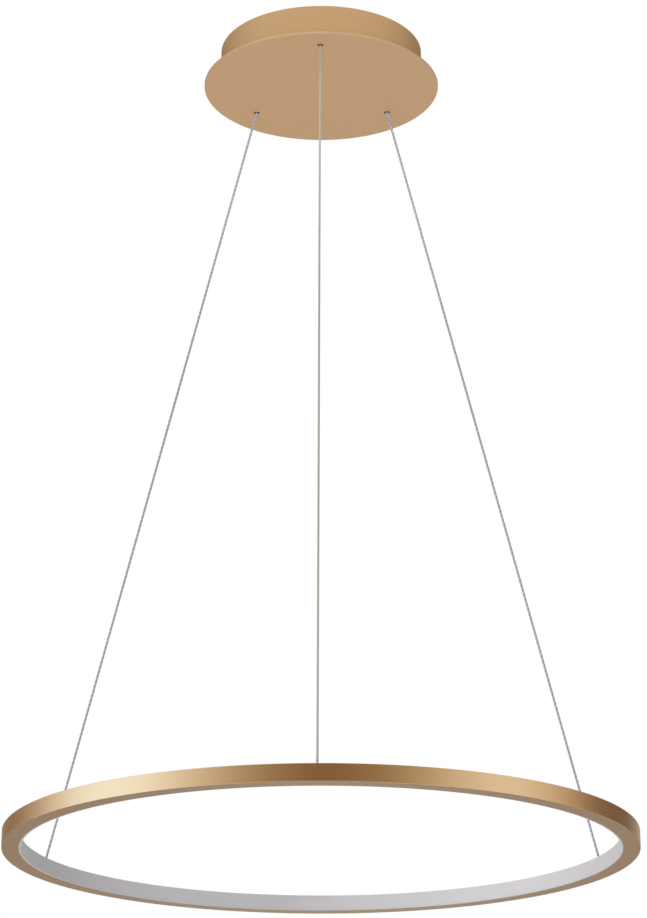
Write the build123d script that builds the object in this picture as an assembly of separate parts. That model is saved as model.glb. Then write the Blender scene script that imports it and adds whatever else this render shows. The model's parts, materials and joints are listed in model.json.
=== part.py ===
"""Ring pendant light: a two-step ceiling canopy, three cables in self-locking grippers and a slim lit ring.

The origin is on the ceiling plane, on the axis of the canopy and the ring. +Z points up into the ceiling,
+X to the right and +Y away from the front cable. All sizes are millimetres.
"""
import os
from math import cos, radians, sin, sqrt

from build123d import *

# Canopy shell
PLATE_DIAMETER = 242.0
PLATE_THICKNESS = 2.0
PLATE_EDGE_RADIUS = 0.5
DRUM_DIAMETER = 208.0
DRUM_HEIGHT = 38.0
DRUM_WALL = 1.2
TAB_ANGLES = (90.0, 210.0, 330.0)
TAB_REACH = 12.0
TAB_WIDTH = 16.0
TAB_THICKNESS = 1.5
STUD_DIAMETER = 3.0
STUD_LENGTH = 7.0
STUD_INSET = 6.5
NUT_WIDTH = 5.5
NUT_HEIGHT = 2.4
SCREW_CLEARANCE = 0.2
THREAD_CLEARANCE = 0.03

# Ceiling bracket and its screws
BRACKET_THICKNESS = 2.0
BRACKET_WIDTH = 30.0
BRACKET_END_CLEARANCE = 1.5
EAR_WIDTH = 24.0
EAR_DROP = 14.0
SLOT_SPACING = 120.0
SLOT_WIDTH = 5.0
SLOT_LENGTH = 16.0
MAINS_HOLE_DIAMETER = 10.0
SIDE_SCREW_DIAMETER = 4.0
SIDE_SCREW_LENGTH = 7.0
SIDE_SCREW_DEPTH = 10.0
SIDE_SCREW_RECESS = 0.2
HEX_SOCKET_WIDTH = 2.0
HEX_SOCKET_DEPTH = 2.0
EARTH_SCREW_DIAMETER = 4.0
EARTH_SCREW_X = -35.0
PAN_HEAD_RATIO = 1.8
PAN_HEAD_HEIGHT = 2.2
LUG_THICKNESS = 0.8
LUG_TONGUE = 9.0

# Driver
DRIVER_LENGTH = 120.0
DRIVER_WIDTH = 32.0
DRIVER_HEIGHT = 22.0
DRIVER_WALL = 1.5
DRIVER_GAP_TO_STRIP = 1.0
LID_THICKNESS = 2.0
LID_FLANGE = 9.0
DRIVER_SCREW_DIAMETER = 3.0
BOARD_THICKNESS = 1.6
BOARD_EDGE_GAP = 0.4
BOARD_RIB_HEIGHT = 4.0
BOARD_RIB_WIDTH = 5.0
TRANSFORMER_SIZE = (24.0, 20.0, 11.0)
CAPACITOR_DIAMETER = 9.0
CAPACITOR_HEIGHT = 10.5
FILM_CAPACITOR_SIZE = (13.0, 6.0, 9.0)
HEAT_SINK_SIZE = (3.0, 16.0, 10.0)

# Terminal block and leads
TERMINAL_LENGTH = 30.0
TERMINAL_DEPTH = 18.0
TERMINAL_HEIGHT = 13.0
TERMINAL_INSET = 20.0
TERMINAL_POLES = 3
TERMINAL_WIRE_HOLE = 3.4
TERMINAL_WELL_DIAMETER = 4.4
TERMINAL_WELL_DEPTH = 4.0
TERMINAL_WELL_INSET = 4.5
TERMINAL_SCREW_HEIGHT = 3.0
LEAD_DIAMETER = 2.0
LEAD_BEND = 6.0
CONNECTOR_SIZE = (14.0, 9.0, 8.0)

# Ring
RING_DIAMETER = 600.0
RING_DEPTH = 16.0
RING_HEIGHT = 16.0
RING_WALL = 1.5
RING_EDGE_RADIUS = 0.5
RING_DROP = 804.0
DIFFUSER_WALL = 1.4
DIFFUSER_GAP = 0.1
DIFFUSER_EDGE_GAP = 0.3
DIFFUSER_LEG_LENGTH = 4.0
DIFFUSER_LEG_THICKNESS = 1.0
DIFFUSER_LIP_HEIGHT = 1.2
DIFFUSER_LIP_PROUD = 0.5
STRIP_WIDTH = 8.0
STRIP_THICKNESS = 0.3
STRIP_GLUE = 0.05
CHIP_COUNT = 72
CHIP_WIDTH = 3.0
CHIP_HEIGHT = 3.0
CHIP_THICKNESS = 0.8
FEED_WIRE_DIAMETER = 1.0
FEED_WIRE_DROP = 4.0

# Cable stations: where each cable leaves the plate, and where it is held in the ring
FRONT_HOLE_INSET = 7.2
REAR_HOLE_INSET = 14.3
REAR_HOLE_ANGLE = 39.0
REAR_ANCHOR_ANGLE = 21.0
PLATE_HOLE_DIAMETER = 6.0
PIVOT_RISE = 6.0
FRONT_CABLE_DIAMETER = 2.0
REAR_CABLE_DIAMETER = 2.4
CABLE_END_SLACK = 2.2
TAIL_RISE = 25.0
TAIL_REACH = 15.0
FRONT_TAIL_DROP = 10.0
TAIL_TO_CONNECTOR = 2.5
TAIL_BEND = 6.0
TAIL_STOP_RADIUS = 2.2
TAIL_STOP_LENGTH = 4.0
TAIL_STOP_CLEARANCE = 0.02

# Gripper, measured along the cable from the centre of its ball nose
NOSE_RADIUS = 4.2
SWIVEL_GAP = 0.15
LINER_WALL = 0.8
LINER_PLATE_GAP = 0.65
SEAT_WALL = 1.5
SEAT_RIM_RISE = 2.0
BARREL_RADIUS = 3.8
BARREL_LENGTH = 14.0
CHAMBER_RADIUS = 2.9
CONE_RADIUS = 2.05
CONE_LENGTH = 7.0
CAP_THICKNESS = 2.0
CAP_PLUG_LENGTH = 1.0
CAP_PLUG_CLEARANCE = 0.05
CAP_CABLE_CLEARANCE = 0.2
PLUNGER_RADIUS = 1.7
PLUNGER_TIP = 4.8
PLUNGER_TOP = 6.0
PLUNGER_FLANGE_RADIUS = 2.3
PLUNGER_FLANGE_THICKNESS = 0.8
PLUNGER_BORE_CLEARANCE = 0.15
PLUNGER_GUIDE_CLEARANCE = 0.12
BALL_COUNT = 3
BALL_HEIGHT = 3.2
BALL_CLEARANCE = 0.06
SPRING_WIRE = 0.5
SPRING_MEAN_RADIUS = 2.2
SPRING_TURNS = 5
SPRING_END_GAP = 0.05

# Ball joint inside the ring
END_BALL_RADIUS = 2.5
END_BALL_FLAT = 2.0
BUSH_WALL = 0.85
BUSH_OPENING_CLEARANCE = 0.6
BUSH_SKIRT = 1.5
ANCHOR_HOLE_DIAMETER = 4.4

# Levels worked out from the sizes above
PLATE_TOP = -DRUM_HEIGHT
PLATE_LOW = PLATE_TOP - PLATE_THICKNESS
RING_LOW = PLATE_LOW - RING_DROP
RING_TOP = RING_LOW + RING_HEIGHT
RING_RADIUS = RING_DIAMETER / 2
RING_INNER_RADIUS = RING_RADIUS - RING_DEPTH
CHANNEL_RADIUS = RING_RADIUS - RING_WALL
CHANNEL_TOP = RING_TOP - RING_WALL
CHANNEL_LOW = RING_LOW + RING_WALL
ANCHOR_RADIUS = RING_RADIUS - RING_DEPTH / 2
DRUM_RADIUS = DRUM_DIAMETER / 2
DRUM_INNER_RADIUS = DRUM_RADIUS - DRUM_WALL
STUD_RADIUS = DRUM_INNER_RADIUS - STUD_INSET
FRONT_HOLE_RADIUS = DRUM_INNER_RADIUS - FRONT_HOLE_INSET
REAR_HOLE_RADIUS = DRUM_INNER_RADIUS - REAR_HOLE_INSET
LINER_INNER_RADIUS = NOSE_RADIUS + SWIVEL_GAP
LINER_OUTER_RADIUS = LINER_INNER_RADIUS + LINER_WALL
SEAT_POCKET_RADIUS = LINER_OUTER_RADIUS + SWIVEL_GAP
SEAT_RADIUS = SEAT_POCKET_RADIUS + SEAT_WALL
BUSH_INNER_RADIUS = END_BALL_RADIUS + SWIVEL_GAP
BUSH_RADIUS = BUSH_INNER_RADIUS + BUSH_WALL
ANCHOR_LEVEL = CHANNEL_TOP - BUSH_RADIUS - SWIVEL_GAP
LID_TOP = -BRACKET_THICKNESS
LID_LOW = LID_TOP - LID_THICKNESS
CASE_LOW = LID_LOW - DRIVER_HEIGHT
CASE_FLOOR = CASE_LOW + DRIVER_WALL
BOARD_LOW = CASE_FLOOR + BOARD_RIB_HEIGHT
BOARD_TOP = BOARD_LOW + BOARD_THICKNESS
DRIVER_NEAR = -BRACKET_WIDTH / 2 - DRIVER_GAP_TO_STRIP
DRIVER_FAR = DRIVER_NEAR - DRIVER_WIDTH
DRIVER_MIDDLE = (DRIVER_NEAR + DRIVER_FAR) / 2
DRIVER_SCREW_X = (DRIVER_LENGTH + LID_FLANGE) / 2
EAR_OUTSIDE = DRUM_INNER_RADIUS - BRACKET_END_CLEARANCE
TERMINAL_LOW = LID_TOP - TERMINAL_HEIGHT
TERMINAL_X = DRIVER_LENGTH / 2 - TERMINAL_INSET


def box(x_span, y_span, z_span):
    """A block between the given low and high limits along each axis."""
    size = [high - low for low, high in (x_span, y_span, z_span)]
    middle = [(high + low) / 2 for low, high in (x_span, y_span, z_span)]
    return Pos(*middle) * Box(*size)


def rod(radius, low, high, x=0.0, y=0.0):
    """A round bar along Z between two levels."""
    return Pos(x, y, (low + high) / 2) * Cylinder(radius, high - low)


def tube(outer, inner, low, high, x=0.0, y=0.0):
    """A round tube along Z between two levels."""
    return rod(outer, low, high, x, y) - rod(inner, low, high, x, y)


def side_rod(radius, near, far, z):
    """A round bar along X between two places."""
    return Pos((near + far) / 2, 0, z) * Rot(0, 90, 0) * Cylinder(radius, abs(far - near))


def ring_of(points):
    """A solid of revolution about Z from an outline of radius and level pairs."""
    outline = Polyline(*[(radius, 0, level) for radius, level in points], close=True)
    return revolve(make_face(outline), Axis.Z)


def wire_tube(points, diameter, bend):
    """A round wire along straight runs that are joined by arcs."""
    path = FilletPolyline(*points, radius=bend)
    section = Plane(origin=path @ 0, z_dir=path % 0) * Circle(diameter / 2)
    return sweep(section, path=path)


def polar(radius, angle):
    """The X and Y of a point at a radius and an angle in degrees from +X."""
    return radius * cos(radians(angle)), radius * sin(radians(angle))


def pan_screw(diameter, shank, x, y, seat):
    """A screw driven upwards, its head under the seat level."""
    head = rod(diameter / 2 * PAN_HEAD_RATIO, seat - PAN_HEAD_HEIGHT, seat, x, y)
    slot = box((x - diameter, x + diameter), (y - diameter / 8, y + diameter / 8),
               (seat - PAN_HEAD_HEIGHT, seat - PAN_HEAD_HEIGHT / 2))
    return head - slot + rod(diameter / 2, seat, seat + shank, x, y)


class Station:
    """One cable: its line from the ring's ball joint to the pivot of its gripper, and the pieces on it."""

    def __init__(self, name, hole, anchor, cable_diameter, end_slack):
        self.name = name
        self.cable_radius = cable_diameter / 2
        self.end_slack = end_slack
        self.hole = Vector(*hole, PLATE_LOW)
        self.anchor = Vector(*anchor, ANCHOR_LEVEL)
        self.up = (self.hole - self.anchor).normalized()
        self.pivot = self.hole + self.up * (PIVOT_RISE / self.up.Z)
        self.inward = Vector(-self.hole.X, -self.hole.Y, 0).normalized()
        self.axis = Plane(origin=self.pivot, z_dir=self.up)
        self.length = (self.pivot - self.anchor).length

    def placed(self, shape):
        """Lay a shape made about the Z axis on the cable's line, with its zero at the pivot."""
        return self.axis.location * shape

    def at_level(self, level):
        """The point of the cable's line at a level."""
        return self.pivot + self.up * ((level - self.pivot.Z) / self.up.Z)

    def anchor_hole(self):
        """The cutter for the cable's hole through the ring's upper wall."""
        middle = self.at_level((RING_TOP + CHANNEL_TOP) / 2)
        return rod(ANCHOR_HOLE_DIAMETER / 2, CHANNEL_TOP - RING_WALL, RING_TOP + RING_WALL,
                   middle.X, middle.Y)

    def plate_hole(self):
        """The cutter for the cable's hole through the canopy plate."""
        middle = self.at_level((PLATE_TOP + PLATE_LOW) / 2)
        return rod(PLATE_HOLE_DIAMETER / 2, PLATE_LOW - PLATE_THICKNESS, PLATE_TOP + PLATE_THICKNESS,
                   middle.X, middle.Y)

    def gripper_seat(self):
        """Turned cup on the plate that the gripper's nose swivels in."""
        rim = self.pivot.Z + SEAT_RIM_RISE
        cup = rod(SEAT_RADIUS, PLATE_TOP, rim, self.pivot.X, self.pivot.Y)
        pocket = Pos(*self.pivot) * Sphere(SEAT_POCKET_RADIUS)
        mouth = rod(SEAT_POCKET_RADIUS, self.pivot.Z, rim + SEAT_RIM_RISE, self.pivot.X, self.pivot.Y)
        return cup - pocket - mouth - self.plate_hole()

    def swivel_liner(self):
        """Lower half of a spherical shell between the seat and the nose."""
        shell = Sphere(LINER_OUTER_RADIUS) - Sphere(LINER_INNER_RADIUS)
        upper = rod(SEAT_POCKET_RADIUS, 0, SEAT_POCKET_RADIUS)
        outlet = rod(PLATE_HOLE_DIAMETER / 2, -SEAT_POCKET_RADIUS, 0)
        lower = Pos(*self.pivot) * (shell - upper) - self.placed(outlet)
        return lower - rod(SEAT_RADIUS, PLATE_LOW, PLATE_TOP + LINER_PLATE_GAP, self.pivot.X, self.pivot.Y)

    def cone_radius(self, height):
        """Radius of the barrel's locking cone at a height above the pivot."""
        return CONE_RADIUS + (CHAMBER_RADIUS - CONE_RADIUS) * height / CONE_LENGTH

    def gripper_barrel(self):
        """Barrel with a ball nose, a guide bore, a locking cone and a spring chamber."""
        body = Sphere(NOSE_RADIUS) + rod(BARREL_RADIUS, 0, BARREL_LENGTH)
        guide = rod(PLUNGER_RADIUS + PLUNGER_GUIDE_CLEARANCE, -NOSE_RADIUS, 0)
        cone = Pos(0, 0, CONE_LENGTH / 2) * Cone(CONE_RADIUS, CHAMBER_RADIUS, CONE_LENGTH)
        chamber = rod(CHAMBER_RADIUS, CONE_LENGTH, BARREL_LENGTH)
        return self.placed(body - guide - cone - chamber)

    def gripper_cap(self):
        """Plug in the top of the barrel."""
        plug = rod(CHAMBER_RADIUS - CAP_PLUG_CLEARANCE, BARREL_LENGTH - CAP_PLUG_LENGTH, BARREL_LENGTH)
        flange = rod(BARREL_RADIUS, BARREL_LENGTH, BARREL_LENGTH + CAP_THICKNESS)
        way = rod(self.cable_radius + CAP_CABLE_CLEARANCE, 0, BARREL_LENGTH + CAP_THICKNESS)
        return self.placed(plug + flange - way)

    def ball_radius(self):
        """Radius of the balls that fill the gap between the cable and the locking cone."""
        return (self.cone_radius(BALL_HEIGHT) - self.cable_radius) / 2 - BALL_CLEARANCE

    def ball_places(self):
        """Places of the balls round the cable."""
        reach = self.cable_radius + BALL_CLEARANCE + self.ball_radius()
        return PolarLocations(reach, BALL_COUNT)

    def gripper_plunger(self):
        """Release tube round the cable, with pockets for the balls and a flange for the spring."""
        stem = rod(PLUNGER_RADIUS, -PLUNGER_TIP, PLUNGER_TOP)
        flange = rod(PLUNGER_FLANGE_RADIUS, PLUNGER_TOP - PLUNGER_FLANGE_THICKNESS, PLUNGER_TOP)
        bore = rod(self.cable_radius + PLUNGER_BORE_CLEARANCE, -PLUNGER_TIP, PLUNGER_TOP)
        pocket = Rot(0, 90, 0) * Cylinder(self.ball_radius() + BALL_CLEARANCE, 2 * PLUNGER_RADIUS)
        pockets = [Pos(0, 0, BALL_HEIGHT) * place * pocket for place in self.ball_places()]
        return self.placed(stem + flange - bore - pockets)

    def gripper_balls(self):
        """The locking balls."""
        balls = [Pos(0, 0, BALL_HEIGHT) * place * Sphere(self.ball_radius()) for place in self.ball_places()]
        return Compound(children=[self.placed(ball) for ball in balls])

    def gripper_spring(self):
        """Coil spring between the plunger's flange and the cap."""
        low = PLUNGER_TOP + SPRING_WIRE / 2 + SPRING_END_GAP
        high = BARREL_LENGTH - CAP_PLUG_LENGTH - SPRING_WIRE / 2 - SPRING_END_GAP
        coil = Helix((high - low) / SPRING_TURNS, high - low, SPRING_MEAN_RADIUS)
        section = Plane(origin=coil @ 0, z_dir=coil % 0) * Circle(SPRING_WIRE / 2)
        return self.placed(Pos(0, 0, low) * sweep(section, path=coil, is_frenet=True))

    def tail_stop(self):
        """Sleeve crimped on the cable above the gripper."""
        low = BARREL_LENGTH + CAP_THICKNESS
        return self.placed(tube(TAIL_STOP_RADIUS, self.cable_radius + TAIL_STOP_CLEARANCE, low,
                                low + TAIL_STOP_LENGTH))

    def tail_points(self):
        """Route of the cable inside the canopy: up through the gripper, inwards and down again."""
        top = self.pivot + self.up * TAIL_RISE
        over = top + self.inward * TAIL_REACH
        drop = FRONT_TAIL_DROP
        if self.end_slack:
            drop = over.Z - (PLATE_TOP + CONNECTOR_SIZE[2] + TAIL_TO_CONNECTOR)
        return [self.pivot, top, over, over - Vector(0, 0, drop)]

    def cable_tail(self):
        """The cable inside the canopy."""
        return wire_tube(self.tail_points(), 2 * self.cable_radius, TAIL_BEND)

    def cable(self):
        """The free stretch, straight under the ring's weight."""
        low = self.length - END_BALL_FLAT - self.end_slack
        return self.placed(rod(self.cable_radius, -low, 0))

    def cable_end(self):
        """Ball crimped on the cable's lower end."""
        ball = Sphere(END_BALL_RADIUS) - rod(END_BALL_RADIUS, END_BALL_FLAT, END_BALL_RADIUS)
        return Plane(origin=self.anchor, z_dir=self.up).location * ball

    def socket_bush(self):
        """Socket under the ring's upper wall, open below and cut for the cable above."""
        shell = Sphere(BUSH_RADIUS) - Sphere(BUSH_INNER_RADIUS)
        below = rod(BUSH_RADIUS, -BUSH_RADIUS, -BUSH_SKIRT)
        opening = rod(self.cable_radius + BUSH_OPENING_CLEARANCE, 0, BUSH_RADIUS)
        turned = Plane(origin=self.anchor, z_dir=self.up).location * opening
        return Pos(*self.anchor) * (shell - below) - turned


def canopy_drum():
    """Drum with inward tabs, open at the ceiling, and a hole for each side screw."""
    drum = tube(DRUM_RADIUS, DRUM_INNER_RADIUS, PLATE_TOP, 0)
    tab = box((DRUM_INNER_RADIUS - TAB_REACH, DRUM_RADIUS - DRUM_WALL / 2), (-TAB_WIDTH / 2, TAB_WIDTH / 2),
              (PLATE_TOP, PLATE_TOP + TAB_THICKNESS))
    tab -= rod(STUD_DIAMETER / 2 + SCREW_CLEARANCE, PLATE_TOP, PLATE_TOP + TAB_THICKNESS, STUD_RADIUS)
    for angle in TAB_ANGLES:
        drum += Rot(0, 0, angle) * tab
    for side in (-1, 1):
        drum -= side_rod(SIDE_SCREW_DIAMETER / 2 + SCREW_CLEARANCE, side * (DRUM_INNER_RADIUS - DRUM_WALL),
                         side * (DRUM_RADIUS + DRUM_WALL), -SIDE_SCREW_DEPTH)
    return drum


def canopy_plate(stations):
    """Thin round plate with a hole for each cable and a welded stud for each tab."""
    plate = rod(PLATE_DIAMETER / 2, PLATE_LOW, PLATE_TOP)
    plate = fillet(plate.edges().filter_by(GeomType.CIRCLE), PLATE_EDGE_RADIUS)
    for angle in TAB_ANGLES:
        plate += rod(STUD_DIAMETER / 2, PLATE_TOP, PLATE_TOP + STUD_LENGTH, *polar(STUD_RADIUS, angle))
    for station in stations:
        plate -= station.plate_hole()
    return plate


def plate_nuts():
    """Hexagon nuts on the studs, tight on the tabs."""
    low = PLATE_TOP + TAB_THICKNESS
    nut = extrude(RegularPolygon(NUT_WIDTH / 2, 6, major_radius=False), NUT_HEIGHT)
    nut -= rod(STUD_DIAMETER / 2 + THREAD_CLEARANCE, 0, NUT_HEIGHT)
    return Compound(children=[Pos(*polar(STUD_RADIUS, angle), low) * nut for angle in TAB_ANGLES])


def ceiling_bracket():
    """Strip against the ceiling, with slots, a mains hole, bent ears and a wing for the driver."""
    half = EAR_OUTSIDE
    strip = box((-half, half), (-BRACKET_WIDTH / 2, BRACKET_WIDTH / 2), (-BRACKET_THICKNESS, 0))
    strip = strip & rod(DRUM_INNER_RADIUS - BRACKET_END_CLEARANCE / 2, -BRACKET_THICKNESS, 0)
    for side in (-1, 1):
        ear = box(sorted((side * (half - BRACKET_THICKNESS), side * half)), (-EAR_WIDTH / 2, EAR_WIDTH / 2),
                  (-BRACKET_THICKNESS - EAR_DROP, -BRACKET_THICKNESS))
        strip += ear
        strip -= side_rod(SIDE_SCREW_DIAMETER / 2 + THREAD_CLEARANCE, side * (half - 2 * BRACKET_THICKNESS),
                          side * (half + BRACKET_THICKNESS), -SIDE_SCREW_DEPTH)
        slot = extrude(SlotOverall(SLOT_LENGTH, SLOT_WIDTH), 2 * BRACKET_THICKNESS, both=True)
        strip -= Pos(side * SLOT_SPACING / 2, 0, 0) * slot
    reach = DRIVER_SCREW_X + LID_FLANGE / 2
    wing = box((-reach, reach), (DRIVER_FAR, -BRACKET_WIDTH / 2), (-BRACKET_THICKNESS, 0))
    strip += wing
    strip -= rod(MAINS_HOLE_DIAMETER / 2, -BRACKET_THICKNESS, 0)
    strip -= rod(EARTH_SCREW_DIAMETER / 2 + THREAD_CLEARANCE, -BRACKET_THICKNESS, 0, EARTH_SCREW_X)
    for side in (-1, 1):
        strip -= rod(DRIVER_SCREW_DIAMETER / 2 + THREAD_CLEARANCE, -BRACKET_THICKNESS, 0,
                     side * DRIVER_SCREW_X, DRIVER_MIDDLE)
    return strip


def canopy_side_screws():
    """Two headless screws with hexagon sockets, flush in the drum and threaded in the bracket's ears."""
    outside = DRUM_RADIUS - SIDE_SCREW_RECESS
    socket = extrude(RegularPolygon(HEX_SOCKET_WIDTH / 2, 6, major_radius=False), HEX_SOCKET_DEPTH)
    screws = []
    for side in (-1, 1):
        shank = side_rod(SIDE_SCREW_DIAMETER / 2, side * (outside - SIDE_SCREW_LENGTH), side * outside,
                         -SIDE_SCREW_DEPTH)
        recess = Pos(side * outside, 0, -SIDE_SCREW_DEPTH) * Rot(0, -90 * side, 0) * socket
        screws.append(shank - recess)
    return Compound(children=screws)


def driver_case():
    """Open box with ribs that carry the circuit board."""
    half = DRIVER_LENGTH / 2
    case = box((-half, half), (DRIVER_FAR, DRIVER_NEAR), (CASE_LOW, LID_LOW))
    case -= box((-half + DRIVER_WALL, half - DRIVER_WALL),
                (DRIVER_FAR + DRIVER_WALL, DRIVER_NEAR - DRIVER_WALL), (CASE_FLOOR, LID_LOW))
    for side in (-1, 1):
        rib_x = sorted((side * (half - DRIVER_WALL - BOARD_RIB_WIDTH), side * (half - DRIVER_WALL / 2)))
        case += box(rib_x, (DRIVER_FAR + DRIVER_WALL / 2, DRIVER_NEAR - DRIVER_WALL / 2),
                    (CASE_LOW, BOARD_LOW))
    return case


def driver_lid():
    """Lid under the bracket's wing, with a flange for a screw at each end."""
    reach = DRIVER_SCREW_X + LID_FLANGE / 2
    lid = box((-reach, reach), (DRIVER_FAR, DRIVER_NEAR), (LID_LOW, LID_TOP))
    for side in (-1, 1):
        lid -= rod(DRIVER_SCREW_DIAMETER / 2 + SCREW_CLEARANCE, LID_LOW, LID_TOP,
                   side * DRIVER_SCREW_X, DRIVER_MIDDLE)
    return lid


def driver_screws():
    """Screws that hold the lid's flanges to the wing."""
    shank = LID_THICKNESS + BRACKET_THICKNESS
    screws = [pan_screw(DRIVER_SCREW_DIAMETER, shank, side * DRIVER_SCREW_X, DRIVER_MIDDLE, LID_LOW)
              for side in (-1, 1)]
    return Compound(children=screws)


def driver_board():
    """Circuit board on the case's ribs."""
    half = DRIVER_LENGTH / 2 - DRIVER_WALL - BOARD_EDGE_GAP
    inset = DRIVER_WALL + BOARD_EDGE_GAP
    return box((-half, half), (DRIVER_FAR + inset, DRIVER_NEAR - inset), (BOARD_LOW, BOARD_TOP))


def driver_parts():
    """Transformer, capacitors and heat sink, standing on the board."""
    def standing(size, x, y):
        length, width, height = size
        return box((x - length / 2, x + length / 2), (y - width / 2, y + width / 2),
                   (BOARD_TOP, BOARD_TOP + height))

    third = DRIVER_LENGTH / 3
    pieces = [standing(TRANSFORMER_SIZE, 0, DRIVER_MIDDLE)]
    pieces.append(standing(FILM_CAPACITOR_SIZE, -third, DRIVER_MIDDLE - FILM_CAPACITOR_SIZE[1]))
    pieces.append(standing(HEAT_SINK_SIZE, third / 2, DRIVER_MIDDLE))
    for offset in (-CAPACITOR_DIAMETER / 2, CAPACITOR_DIAMETER / 2 + BOARD_EDGE_GAP):
        pieces.append(rod(CAPACITOR_DIAMETER / 2, BOARD_TOP, BOARD_TOP + CAPACITOR_HEIGHT, third,
                          DRIVER_MIDDLE + offset))
    return Compound(children=pieces)


def pole_places():
    """X of each pole of the terminal block."""
    pitch = TERMINAL_LENGTH / TERMINAL_POLES
    return [TERMINAL_X + pitch * (index - (TERMINAL_POLES - 1) / 2) for index in range(TERMINAL_POLES)]


def well_places():
    """X and Y of each screw well of the terminal block."""
    reach = TERMINAL_DEPTH / 2 - TERMINAL_WELL_INSET
    return [(x, y) for x in pole_places() for y in (-reach, reach)]


def terminal_block():
    """Block under the strip, with a wire passage and two screw wells for each pole."""
    half = TERMINAL_LENGTH / 2
    block = box((TERMINAL_X - half, TERMINAL_X + half), (-TERMINAL_DEPTH / 2, TERMINAL_DEPTH / 2),
                (TERMINAL_LOW, LID_TOP))
    for x in pole_places():
        passage = Rot(90, 0, 0) * Cylinder(TERMINAL_WIRE_HOLE / 2, 2 * TERMINAL_DEPTH)
        block -= Pos(x, 0, TERMINAL_LOW + TERMINAL_HEIGHT / 2) * passage
    for x, y in well_places():
        block -= rod(TERMINAL_WELL_DIAMETER / 2, TERMINAL_LOW, TERMINAL_LOW + TERMINAL_WELL_DEPTH, x, y)
    return block


def terminal_screws():
    """Clamp screws at the bottom of the wells."""
    top = TERMINAL_LOW + TERMINAL_WELL_DEPTH
    radius = TERMINAL_WELL_DIAMETER / 2 - SCREW_CLEARANCE
    screws = []
    for x, y in well_places():
        low = top - TERMINAL_SCREW_HEIGHT
        slot = box((x - radius, x + radius), (y - radius / 4, y + radius / 4), (low, low + radius / 2))
        screws.append(rod(radius, low, top, x, y) - slot)
    return Compound(children=screws)


def earth_screw():
    """Screw in the strip that clamps the earth lead's lug."""
    shank = LUG_THICKNESS + BRACKET_THICKNESS
    return pan_screw(EARTH_SCREW_DIAMETER, shank, EARTH_SCREW_X, 0, LID_TOP - LUG_THICKNESS)


def earth_lead():
    """Lug under the earth screw, and the lead from it to the first pole."""
    lug = tube(EARTH_SCREW_DIAMETER, EARTH_SCREW_DIAMETER / 2 + SCREW_CLEARANCE,
               LID_TOP - LUG_THICKNESS, LID_TOP, EARTH_SCREW_X)
    tongue_end = EARTH_SCREW_X + LUG_TONGUE
    lug += box((EARTH_SCREW_X + EARTH_SCREW_DIAMETER / 2 + 2 * SCREW_CLEARANCE, tongue_end),
               (-LEAD_DIAMETER / 2, LEAD_DIAMETER / 2), (LID_TOP - LUG_THICKNESS, LID_TOP))
    level = TERMINAL_LOW + TERMINAL_HEIGHT / 2
    start = tongue_end - LEAD_DIAMETER / 2
    side = TERMINAL_DEPTH / 2 + 2 * LEAD_BEND
    pole = pole_places()[0]
    points = [(start, 0, LID_TOP - LUG_THICKNESS / 2), (start, 0, level), (start + side, side, level),
              (pole, side, level), (pole, TERMINAL_DEPTH / 4, level)]
    return lug + wire_tube(points, LEAD_DIAMETER, LEAD_BEND / 2)


def mains_leads():
    """Two leads from the block's outer poles into the driver's near wall."""
    level = TERMINAL_LOW + TERMINAL_HEIGHT / 2
    start = -TERMINAL_DEPTH / 4
    end = DRIVER_NEAR - DRIVER_WALL - LEAD_DIAMETER
    return Compound(children=[Pos(x, (start + end) / 2, level) * Rot(90, 0, 0)
                              * Cylinder(LEAD_DIAMETER / 2, start - end) for x in pole_places()[1:]])


def lead_hole(x):
    """The cutter for a mains lead's hole through the driver's near wall."""
    level = TERMINAL_LOW + TERMINAL_HEIGHT / 2
    hole = Rot(90, 0, 0) * Cylinder(LEAD_DIAMETER / 2 + SCREW_CLEARANCE, 4 * DRIVER_WALL)
    return Pos(x, DRIVER_NEAR, level) * hole


def connector_place(station):
    """Middle of the splice connector under the end of a powered cable's tail."""
    return station.tail_points()[-1]


def splice_connectors(stations):
    """Connectors on the plate between the driver's output leads and the powered cables."""
    length, width, height = CONNECTOR_SIZE
    blocks = []
    for station in stations:
        place = connector_place(station)
        blocks.append(box((place.X - length / 2, place.X + length / 2),
                          (place.Y - width / 2, place.Y + width / 2), (PLATE_TOP, PLATE_TOP + height)))
    return Compound(children=blocks)


def output_leads(stations):
    """One lead from each end of the driver to its splice connector."""
    level = PLATE_TOP + CONNECTOR_SIZE[2] / 2
    leads = []
    for station in stations:
        place = connector_place(station)
        side = 1 if place.X > 0 else -1
        wall = side * (DRIVER_LENGTH / 2 - DRIVER_WALL - LEAD_DIAMETER)
        outside = side * (DRIVER_LENGTH / 2 + 3 * LEAD_BEND)
        exit_level = BOARD_TOP + LEAD_DIAMETER
        points = [(wall, DRIVER_MIDDLE, exit_level), (outside, DRIVER_MIDDLE, exit_level), (outside, 0, level),
                  (place.X, 0, level), (place.X, place.Y - CONNECTOR_SIZE[1] / 2, level)]
        leads.append(wire_tube(points, LEAD_DIAMETER, LEAD_BEND))
    return Compound(children=leads)


def output_hole(side):
    """The cutter for an output lead's hole through the driver's end wall."""
    middle = side * DRIVER_LENGTH / 2
    hole = Rot(0, 90, 0) * Cylinder(LEAD_DIAMETER / 2 + SCREW_CLEARANCE, 4 * DRIVER_WALL)
    return Pos(middle, DRIVER_MIDDLE, BOARD_TOP + LEAD_DIAMETER) * hole


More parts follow.
